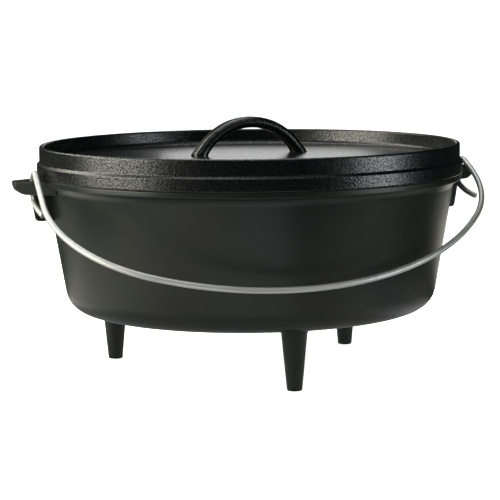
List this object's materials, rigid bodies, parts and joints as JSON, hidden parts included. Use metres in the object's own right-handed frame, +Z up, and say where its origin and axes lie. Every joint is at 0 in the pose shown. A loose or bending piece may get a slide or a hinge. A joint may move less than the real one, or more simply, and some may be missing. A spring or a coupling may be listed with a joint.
{
  "type": "cast iron dutch oven",
  "caption": "Round cast iron camp oven on three legs, with eared pot, flanged coal lid with loop handle, and a swinging wire bail.",
  "frame": {"origin": "on the ground under the pot's axis, level with the three feet", "axes": "+Z up along the pot's axis, +X through the ear on the right of the picture, -Y to the front where the bail hangs"},
  "size_m": [0.369, 0.333, 0.1935],
  "materials": {
    "pot_iron": "satin seasoned cast iron",
    "lid_iron": "oiled black seasoned cast iron with a pebbled casting skin",
    "bail_wire": "bright drawn wire"
  },
  "bodies": {
    "pot": {"pot": "pot_iron"},
    "lid": {"lid": "lid_iron"},
    "bail": {"bail": "bail_wire"}
  },
  "joints": [
    {"name": "lid_lift", "type": "slide", "parent": "pot", "child": "lid", "axis": [0, 0, 1], "range_m": [0, 0.2]},
    {"name": "bail_swing", "type": "hinge", "parent": "pot", "child": "bail", "pos_m": [0, -0.0108, 0.145], "axis": [-1, 0, 0], "range_deg": [0, 126]}
  ]
}
